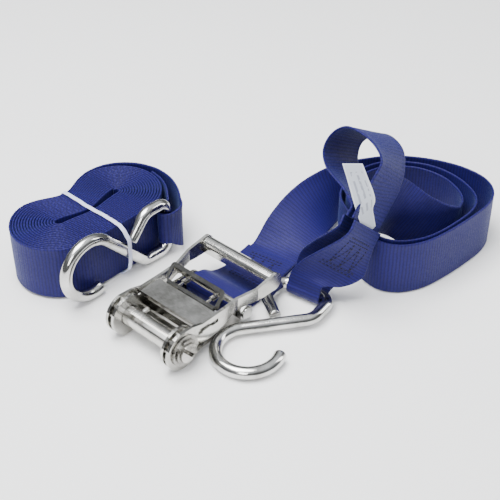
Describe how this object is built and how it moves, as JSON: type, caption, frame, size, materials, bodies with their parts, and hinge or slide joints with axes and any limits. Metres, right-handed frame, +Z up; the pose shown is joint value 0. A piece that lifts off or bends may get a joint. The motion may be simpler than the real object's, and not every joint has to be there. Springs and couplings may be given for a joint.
{
  "type": "ratchet tie down",
  "caption": "Ratchet buckle with a fixed strap, soft loop and S-hook, beside a long strap rolled on edge under a rubber band with its own S-hook.",
  "frame": {"origin": "on the floor, under the centre of the whole set's bounding box", "axes": "+Z up; the ratchet lies along X with its mandrel axis along Y and its grip towards +X; the rolled strap lies on the +Y side"},
  "size_m": [0.2624, 0.2246, 0.1082],
  "materials": {
    "plate_steel": "polished stainless sheet",
    "shaft_steel": "polished stainless bar",
    "wheel_steel": "stamped stainless",
    "spring_steel": "drawn wire",
    "bolt_steel": "plated",
    "hook_steel": "polished stainless wire",
    "webbing": "royal blue woven polyester",
    "label": "silver-grey satin",
    "band": "pale lilac rubber"
  },
  "bodies": {
    "base": {"base_frame": "plate_steel", "anchor_bolt": "bolt_steel", "anchor_nut": "bolt_steel", "anchor_spacer": "bolt_steel", "lock_spring_left": "spring_steel", "lock_spring_right": "spring_steel", "short_strap": "webbing", "sewn_hook_end": "webbing", "soft_loop": "webbing", "label_tag": "label", "rolled_strap": "webbing", "rubber_band": "band", "short_strap_hook": "hook_steel", "rolled_strap_hook": "hook_steel"},
    "handle": {"handle_frame": "plate_steel", "grip_bar": "plate_steel", "drive_spring_left": "spring_steel", "drive_spring_right": "spring_steel"},
    "trigger": {"drive_pawl": "plate_steel"},
    "stop": {"lock_pawl": "plate_steel"},
    "spool": {"mandrel_half_upper": "shaft_steel", "mandrel_half_lower": "shaft_steel", "ratchet_wheel_left": "wheel_steel", "ratchet_wheel_right": "wheel_steel", "mandrel_washer_left": "wheel_steel", "mandrel_washer_right": "wheel_steel", "retaining_ring_left": "spring_steel", "retaining_ring_right": "spring_steel"}
  },
  "joints": [
    {"name": "handle_swing", "type": "hinge", "parent": "base", "child": "handle", "pos_m": [-0.1125, -0.01864, 0.01394], "axis": [0, -1, 0], "range_deg": [0, 180]},
    {"name": "trigger_pull", "type": "slide", "parent": "handle", "child": "trigger", "axis": [1, 0, 0], "range_m": [0, 0.004], "stiffness_N_per_m": 800, "springref_m": -0.003},
    {"name": "stop_slide", "type": "slide", "parent": "base", "child": "stop", "axis": [1, 0, 0], "range_m": [0, 0.004], "stiffness_N_per_m": 800, "springref_m": -0.003},
    {"name": "spool_turn", "type": "hinge", "parent": "base", "child": "spool", "pos_m": [-0.1125, -0.01864, 0.01394], "axis": [0, -1, 0], "continuous": true}
  ]
}
